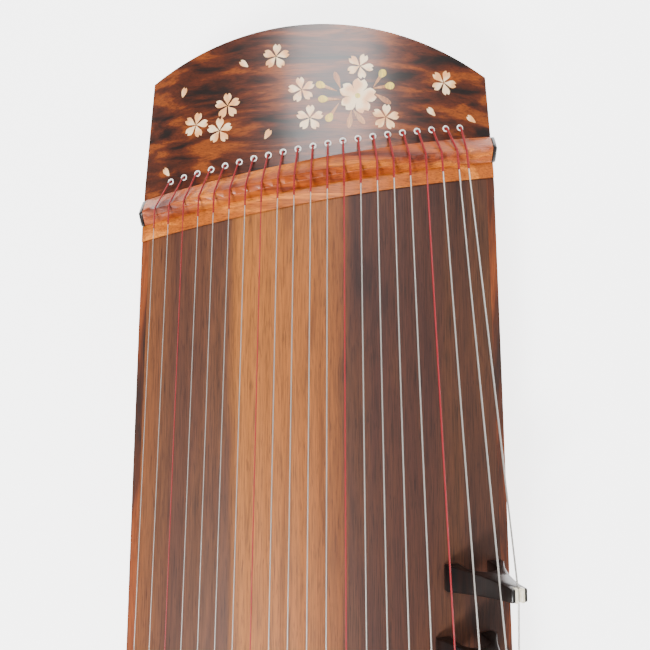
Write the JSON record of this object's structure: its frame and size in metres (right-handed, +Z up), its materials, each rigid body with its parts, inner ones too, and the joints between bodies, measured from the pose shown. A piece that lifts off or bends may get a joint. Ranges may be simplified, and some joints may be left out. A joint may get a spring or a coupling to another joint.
{
  "type": "guzheng",
  "caption": "Long arched zither: cambered soundboard on a hollow box, strings over an oblique row of movable bridges, slanted tail bridge, straight head bridge and lidded tuning box.",
  "frame": {"origin": "on the ground under the middle of the instrument's overall length and width", "axes": "+X towards the head (tuning) end, -X towards the tail, -Y towards the player, +Z up"},
  "size_m": [1.63, 0.354, 0.1965],
  "materials": {
    "soundboard_wood": "open-pored paulownia, matt",
    "cover_wood": "figured walnut veneer, satin lacquer",
    "back_wood": "plain paulownia, matt",
    "panel_wood": "rosewood, satin lacquer",
    "inner_wood": "unfinished spruce and maple",
    "fixed_bridge_wood": "rosewood, satin lacquer",
    "strip_wood": "light rosewood strip, satin",
    "movable_bridge_wood": "ebony-stained rosewood, polished",
    "bone": "bone inserts, polished",
    "inlay_wood": "maple and boxwood marquetry, satin",
    "eyelet_plastic": "white moulded ferrules",
    "string_silver": "nylon-wound steel strings",
    "string_red": "red nylon-wound marker strings",
    "red_thread": "wound red cotton thread",
    "pin_steel": "nickel-plated steel",
    "hinge_brass": "polished brass"
  },
  "bodies": {
    "root": {"soundboard": "soundboard_wood", "tail_board": "cover_wood", "head_board": "cover_wood", "back_board": "back_wood", "side_panels": "panel_wood", "end_panels": "panel_wood", "braces": "inner_wood", "tail_bridge": "fixed_bridge_wood", "tail_bridge_strip": "strip_wood", "head_bridge": "fixed_bridge_wood", "string_eyelets": "eyelet_plastic", "strings": "string_silver", "string_wraps": "red_thread", "pin_block": "inner_wood", "box_hinge_leaf": "hinge_brass", "feet": "movable_bridge_wood"},
    "bridge_01": {"movable_bridge_01": "movable_bridge_wood"},
    "bridge_02": {"movable_bridge_02": "movable_bridge_wood"},
    "bridge_03": {"movable_bridge_03": "movable_bridge_wood"},
    "bridge_04": {"movable_bridge_04": "movable_bridge_wood"},
    "bridge_05": {"movable_bridge_05": "movable_bridge_wood"},
    "bridge_06": {"movable_bridge_06": "movable_bridge_wood"},
    "bridge_07": {"movable_bridge_07": "movable_bridge_wood"},
    "bridge_08": {"movable_bridge_08": "movable_bridge_wood"},
    "bridge_09": {"movable_bridge_09": "movable_bridge_wood"},
    "bridge_10": {"movable_bridge_10": "movable_bridge_wood"},
    "bridge_11": {"movable_bridge_11": "movable_bridge_wood"},
    "bridge_12": {"movable_bridge_12": "movable_bridge_wood"},
    "bridge_13": {"movable_bridge_13": "movable_bridge_wood"},
    "bridge_14": {"movable_bridge_14": "movable_bridge_wood"},
    "bridge_15": {"movable_bridge_15": "movable_bridge_wood"},
    "bridge_16": {"movable_bridge_16": "movable_bridge_wood"},
    "bridge_17": {"movable_bridge_17": "movable_bridge_wood"},
    "bridge_18": {"movable_bridge_18": "movable_bridge_wood"},
    "bridge_19": {"movable_bridge_19": "movable_bridge_wood"},
    "bridge_20": {"movable_bridge_20": "movable_bridge_wood"},
    "bridge_21": {"movable_bridge_21": "movable_bridge_wood"},
    "pin_01": {"tuning_pin_01": "pin_steel"},
    "pin_02": {"tuning_pin_02": "pin_steel"},
    "pin_03": {"tuning_pin_03": "pin_steel"},
    "pin_04": {"tuning_pin_04": "pin_steel"},
    "pin_05": {"tuning_pin_05": "pin_steel"},
    "pin_06": {"tuning_pin_06": "pin_steel"},
    "pin_07": {"tuning_pin_07": "pin_steel"},
    "pin_08": {"tuning_pin_08": "pin_steel"},
    "pin_09": {"tuning_pin_09": "pin_steel"},
    "pin_10": {"tuning_pin_10": "pin_steel"},
    "pin_11": {"tuning_pin_11": "pin_steel"},
    "pin_12": {"tuning_pin_12": "pin_steel"},
    "pin_13": {"tuning_pin_13": "pin_steel"},
    "pin_14": {"tuning_pin_14": "pin_steel"},
    "pin_15": {"tuning_pin_15": "pin_steel"},
    "pin_16": {"tuning_pin_16": "pin_steel"},
    "pin_17": {"tuning_pin_17": "pin_steel"},
    "pin_18": {"tuning_pin_18": "pin_steel"},
    "pin_19": {"tuning_pin_19": "pin_steel"},
    "pin_20": {"tuning_pin_20": "pin_steel"},
    "pin_21": {"tuning_pin_21": "pin_steel"},
    "lid_body": {"lid": "cover_wood", "lid_hinge_leaf": "hinge_brass"}
  },
  "joints": [
    {"name": "bridge_01_slide", "type": "slide", "parent": "root", "child": "bridge_01", "axis": [0.9998, 0, -0.0198], "range_m": [-0.005, 0.005], "deforming": ["strings"]},
    {"name": "bridge_02_slide", "type": "slide", "parent": "root", "child": "bridge_02", "axis": [0.9998, 0, -0.0185], "range_m": [-0.005, 0.005], "deforming": ["strings"]},
    {"name": "bridge_03_slide", "type": "slide", "parent": "root", "child": "bridge_03", "axis": [0.9999, 0, -0.0172], "range_m": [-0.005, 0.005], "deforming": ["strings"]},
    {"name": "bridge_04_slide", "type": "slide", "parent": "root", "child": "bridge_04", "axis": [0.9999, 0, -0.0158], "range_m": [-0.005, 0.005], "deforming": ["strings"]},
    {"name": "bridge_05_slide", "type": "slide", "parent": "root", "child": "bridge_05", "axis": [0.9999, 0, -0.0144], "range_m": [-0.005, 0.005], "deforming": ["strings"]},
    {"name": "bridge_06_slide", "type": "slide", "parent": "root", "child": "bridge_06", "axis": [0.9999, 0, -0.0129], "range_m": [-0.005, 0.005], "deforming": ["strings"]},
    {"name": "bridge_07_slide", "type": "slide", "parent": "root", "child": "bridge_07", "axis": [0.9999, 0, -0.0114], "range_m": [-0.005, 0.005], "deforming": ["strings"]},
    {"name": "bridge_08_slide", "type": "slide", "parent": "root", "child": "bridge_08", "axis": [1, 0, -0.0099], "range_m": [-0.005, 0.005], "deforming": ["strings"]},
    {"name": "bridge_09_slide", "type": "slide", "parent": "root", "child": "bridge_09", "axis": [1, 0, -0.0083], "range_m": [-0.005, 0.005], "deforming": ["strings"]},
    {"name": "bridge_10_slide", "type": "slide", "parent": "root", "child": "bridge_10", "axis": [1, 0, -0.0066], "range_m": [-0.005, 0.005], "deforming": ["strings"]},
    {"name": "bridge_11_slide", "type": "slide", "parent": "root", "child": "bridge_11", "axis": [1, 0, -0.0049], "range_m": [-0.005, 0.005], "deforming": ["strings"]},
    {"name": "bridge_12_slide", "type": "slide", "parent": "root", "child": "bridge_12", "axis": [1, 0, -0.0032], "range_m": [-0.005, 0.005], "deforming": ["strings"]},
    {"name": "bridge_13_slide", "type": "slide", "parent": "root", "child": "bridge_13", "axis": [1, 0, -0.0015], "range_m": [-0.005, 0.005], "deforming": ["strings"]},
    {"name": "bridge_14_slide", "type": "slide", "parent": "root", "child": "bridge_14", "axis": [1, 0, 0.0003], "range_m": [-0.005, 0.005], "deforming": ["strings"]},
    {"name": "bridge_15_slide", "type": "slide", "parent": "root", "child": "bridge_15", "axis": [1, 0, 0.0022], "range_m": [-0.005, 0.005], "deforming": ["strings"]},
    {"name": "bridge_16_slide", "type": "slide", "parent": "root", "child": "bridge_16", "axis": [1, 0, 0.0041], "range_m": [-0.005, 0.005], "deforming": ["strings"]},
    {"name": "bridge_17_slide", "type": "slide", "parent": "root", "child": "bridge_17", "axis": [1, 0, 0.006], "range_m": [-0.005, 0.005], "deforming": ["strings"]},
    {"name": "bridge_18_slide", "type": "slide", "parent": "root", "child": "bridge_18", "axis": [1, 0, 0.008], "range_m": [-0.005, 0.005], "deforming": ["strings"]},
    {"name": "bridge_19_slide", "type": "slide", "parent": "root", "child": "bridge_19", "axis": [1, 0, 0.01], "range_m": [-0.005, 0.005], "deforming": ["strings"]},
    {"name": "bridge_20_slide", "type": "slide", "parent": "root", "child": "bridge_20", "axis": [0.9999, 0, 0.0121], "range_m": [-0.005, 0.005], "deforming": ["strings"]},
    {"name": "bridge_21_slide", "type": "slide", "parent": "root", "child": "bridge_21", "axis": [0.9999, 0, 0.0142], "range_m": [-0.005, 0.005], "deforming": ["strings"]},
    {"name": "pin_01_turn", "type": "hinge", "parent": "root", "child": "pin_01", "pos_m": [0.718, -0.146, 0.038], "axis": [0, 0, 1], "continuous": true},
    {"name": "pin_02_turn", "type": "hinge", "parent": "root", "child": "pin_02", "pos_m": [0.742, -0.1314, 0.038], "axis": [0, 0, 1], "continuous": true},
    {"name": "pin_03_turn", "type": "hinge", "parent": "root", "child": "pin_03", "pos_m": [0.766, -0.1168, 0.038], "axis": [0, 0, 1], "continuous": true},
    {"name": "pin_04_turn", "type": "hinge", "parent": "root", "child": "pin_04", "pos_m": [0.718, -0.1022, 0.038], "axis": [0, 0, 1], "continuous": true},
    {"name": "pin_05_turn", "type": "hinge", "parent": "root", "child": "pin_05", "pos_m": [0.742, -0.0876, 0.038], "axis": [0, 0, 1], "continuous": true},
    {"name": "pin_06_turn", "type": "hinge", "parent": "root", "child": "pin_06", "pos_m": [0.766, -0.073, 0.038], "axis": [0, 0, 1], "continuous": true},
    {"name": "pin_07_turn", "type": "hinge", "parent": "root", "child": "pin_07", "pos_m": [0.718, -0.0584, 0.038], "axis": [0, 0, 1], "continuous": true},
    {"name": "pin_08_turn", "type": "hinge", "parent": "root", "child": "pin_08", "pos_m": [0.742, -0.0438, 0.038], "axis": [0, 0, 1], "continuous": true},
    {"name": "pin_09_turn", "type": "hinge", "parent": "root", "child": "pin_09", "pos_m": [0.766, -0.0292, 0.038], "axis": [0, 0, 1], "continuous": true},
    {"name": "pin_10_turn", "type": "hinge", "parent": "root", "child": "pin_10", "pos_m": [0.718, -0.0146, 0.038], "axis": [0, 0, 1], "continuous": true},
    {"name": "pin_11_turn", "type": "hinge", "parent": "root", "child": "pin_11", "pos_m": [0.742, 0, 0.038], "axis": [0, 0, 1], "continuous": true},
    {"name": "pin_12_turn", "type": "hinge", "parent": "root", "child": "pin_12", "pos_m": [0.766, 0.0146, 0.038], "axis": [0, 0, 1], "continuous": true},
    {"name": "pin_13_turn", "type": "hinge", "parent": "root", "child": "pin_13", "pos_m": [0.718, 0.0292, 0.038], "axis": [0, 0, 1], "continuous": true},
    {"name": "pin_14_turn", "type": "hinge", "parent": "root", "child": "pin_14", "pos_m": [0.742, 0.0438, 0.038], "axis": [0, 0, 1], "continuous": true},
    {"name": "pin_15_turn", "type": "hinge", "parent": "root", "child": "pin_15", "pos_m": [0.766, 0.0584, 0.038], "axis": [0, 0, 1], "continuous": true},
    {"name": "pin_16_turn", "type": "hinge", "parent": "root", "child": "pin_16", "pos_m": [0.718, 0.073, 0.038], "axis": [0, 0, 1], "continuous": true},
    {"name": "pin_17_turn", "type": "hinge", "parent": "root", "child": "pin_17", "pos_m": [0.742, 0.0876, 0.038], "axis": [0, 0, 1], "continuous": true},
    {"name": "pin_18_turn", "type": "hinge", "parent": "root", "child": "pin_18", "pos_m": [0.766, 0.1022, 0.038], "axis": [0, 0, 1], "continuous": true},
    {"name": "pin_19_turn", "type": "hinge", "parent": "root", "child": "pin_19", "pos_m": [0.718, 0.1168, 0.038], "axis": [0, 0, 1], "continuous": true},
    {"name": "pin_20_turn", "type": "hinge", "parent": "root", "child": "pin_20", "pos_m": [0.742, 0.1314, 0.038], "axis": [0, 0, 1], "continuous": true},
    {"name": "pin_21_turn", "type": "hinge", "parent": "root", "child": "pin_21", "pos_m": [0.766, 0.146, 0.038], "axis": [0, 0, 1], "continuous": true},
    {"name": "lid_hinge", "type": "hinge", "parent": "root", "child": "lid_body", "pos_m": [0.8126, 0, 0.12311], "axis": [0, 1, 0], "range_deg": [0, 100]}
  ]
}
